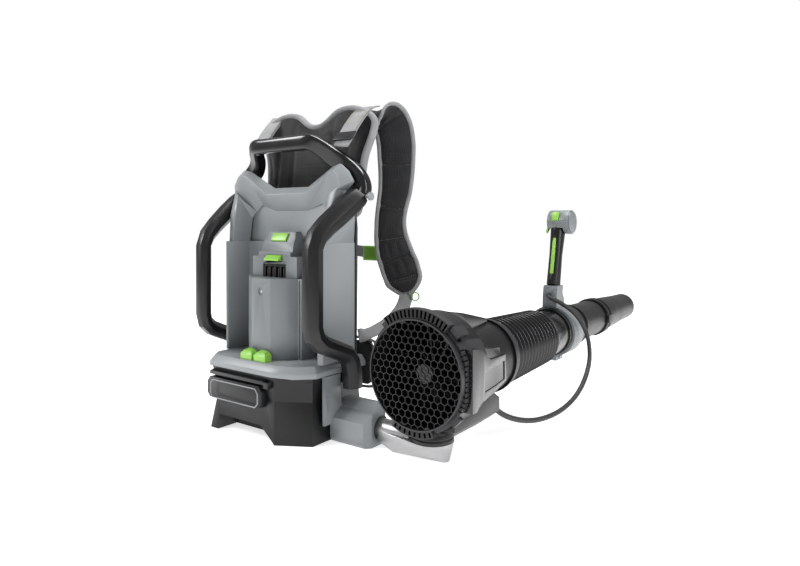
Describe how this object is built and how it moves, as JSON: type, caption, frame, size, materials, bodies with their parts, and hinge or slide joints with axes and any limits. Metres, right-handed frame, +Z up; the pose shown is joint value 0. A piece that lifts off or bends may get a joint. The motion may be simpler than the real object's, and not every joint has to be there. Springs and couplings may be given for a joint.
{
  "type": "backpack leaf blower",
  "caption": "Backpack frame with padded harness and battery bay, carrying a swivelling axial fan unit, a folded hose and a straight blower tube with a pistol grip.",
  "frame": {"origin": "on the ground, under the middle of the pack frame, in the plane of symmetry of the pack", "axes": "+X to the wearer's right, towards the blower tube; +Y forwards, the way the air leaves the nozzle; +Z up"},
  "size_m": [0.6168, 1.161, 0.6216],
  "materials": {
    "grey_housing": "satin moulded housing plastic",
    "black_housing": "lightly grained moulded plastic",
    "black_gloss": "smooth semi-gloss plastic",
    "green_trim": "smooth bright control plastic",
    "green_cord": "thin braided cord",
    "arm_metal": "fine satin casting",
    "steel": "turned steel",
    "heavy_casting": "plain casting, out of sight",
    "contact_metal": "plated contact",
    "padded_fabric": "woven cover over foam",
    "webbing": "flat woven webbing",
    "soft_rubber": "matte elastomer",
    "cable_jacket": "ribbed cable jacket"
  },
  "bodies": {
    "pack": {"base_housing": "black_housing", "base_cover": "black_housing", "controller_board": "black_housing", "heat_sink": "heavy_casting", "badge_plate": "black_housing", "shelf_cap": "grey_housing", "spine_shell": "grey_housing", "battery_rail": "grey_housing", "shell_rim": "grey_housing", "terminal_head": "grey_housing", "terminal_block": "black_housing", "terminal_blades": "contact_metal", "side_box": "grey_housing", "arm_bush": "black_housing", "guard_left": "black_housing", "guard_right": "black_housing", "top_handle": "black_housing", "hanging_peg": "grey_housing", "back_plate": "black_housing", "frame_screws": "steel", "lumbar_pad": "padded_fabric", "yoke_pad": "padded_fabric", "shoulder_strap_left": "padded_fabric", "shoulder_strap_right": "padded_fabric", "lifter_straps": "webbing", "lifter_buckles": "black_housing", "lower_webbing": "webbing", "chest_strap": "webbing", "chest_buckle": "green_trim", "pull_loops": "green_cord"},
    "ejector": {"ejector": "green_trim"},
    "latch": {"latch_wedge": "green_trim"},
    "release_button": {"release_button": "green_trim"},
    "swivel_arm": {"pivot_arm": "arm_metal", "swivel_boot": "soft_rubber"},
    "fan_unit": {"fan_housing": "black_housing", "intake_grille": "black_housing", "side_cover": "black_gloss", "top_cover": "black_gloss", "lower_pod": "black_housing", "swivel_pin": "steel", "cable_gland": "black_housing", "stator_hub": "black_housing", "motor": "arm_metal", "bellows": "soft_rubber", "hose_clamps": "black_housing", "control_cable": "cable_jacket"},
    "impeller": {"impeller": "black_gloss"},
    "front_tube": {"rear_tube": "black_gloss", "handle_clamp": "grey_housing", "clamp_screw": "steel", "mid_tube": "black_gloss", "handle_base": "grey_housing", "grip": "black_housing", "grip_inlay": "green_trim", "handle_head": "grey_housing"},
    "nozzle": {"nozzle": "black_housing"},
    "boost_button": {"boost_button": "green_trim"},
    "trigger": {"trigger": "green_trim"},
    "cruise_lever": {"cruise_lever": "green_trim"}
  },
  "joints": [
    {"name": "ejector_press", "type": "slide", "parent": "pack", "child": "ejector", "axis": [0, 0, 1], "range_m": [-0.01, 0], "stiffness_N_per_m": 800, "springref_m": 0.004},
    {"name": "button_press", "type": "slide", "parent": "pack", "child": "release_button", "axis": [0, 0.878, -0.4787], "range_m": [0, 0.004], "stiffness_N_per_m": 900, "springref_m": -0.002},
    {"name": "latch_slide", "type": "slide", "parent": "pack", "child": "latch", "axis": [0, 1, 0], "range_m": [0, 0.004]},
    {"name": "arm_tilt", "type": "hinge", "parent": "pack", "child": "swivel_arm", "pos_m": [0.202, 0.008, 0.029], "axis": [1, 0, 0], "range_deg": [0, 25]},
    {"name": "fan_swivel", "type": "hinge", "parent": "swivel_arm", "child": "fan_unit", "pos_m": [0.321, 0.008, 0.03], "axis": [0, 0, 1], "range_deg": [-20, 15]},
    {"name": "impeller_spin", "type": "hinge", "parent": "fan_unit", "child": "impeller", "pos_m": [0.321, 0.01, 0.143], "axis": [0, 1, 0], "continuous": true},
    {"name": "tube_flex", "type": "hinge", "parent": "fan_unit", "child": "front_tube", "pos_m": [0.321, 0.305, 0.139], "axis": [1, 0, 0], "range_deg": [-12, 12], "stiffness_Nm_per_rad": 40, "springref_deg": 6.02, "deforming": ["bellows", "control_cable"]},
    {"name": "nozzle_twist", "type": "hinge", "parent": "front_tube", "child": "nozzle", "pos_m": [0.321, 0.803, 0.139], "axis": [0, 1, 0], "range_deg": [-30, 0]},
    {"name": "boost_press", "type": "slide", "parent": "front_tube", "child": "boost_button", "axis": [0, 0.9781, -0.2079], "range_m": [0, 0.003], "stiffness_N_per_m": 600, "springref_m": -0.001},
    {"name": "trigger_pull", "type": "hinge", "parent": "front_tube", "child": "trigger", "pos_m": [0.321, 0.5506, 0.3375], "axis": [-1, 0, 0], "range_deg": [0, 6], "stiffness_Nm_per_rad": 1, "springref_deg": -2.86},
    {"name": "cruise_turn", "type": "hinge", "parent": "front_tube", "child": "cruise_lever", "pos_m": [0.3, 0.559, 0.39], "axis": [1, 0, 0], "range_deg": [-60, 10]}
  ],
  "couplings": [
    {"joint": "latch_slide", "follows": "button_press", "ratio": 1}
  ]
}
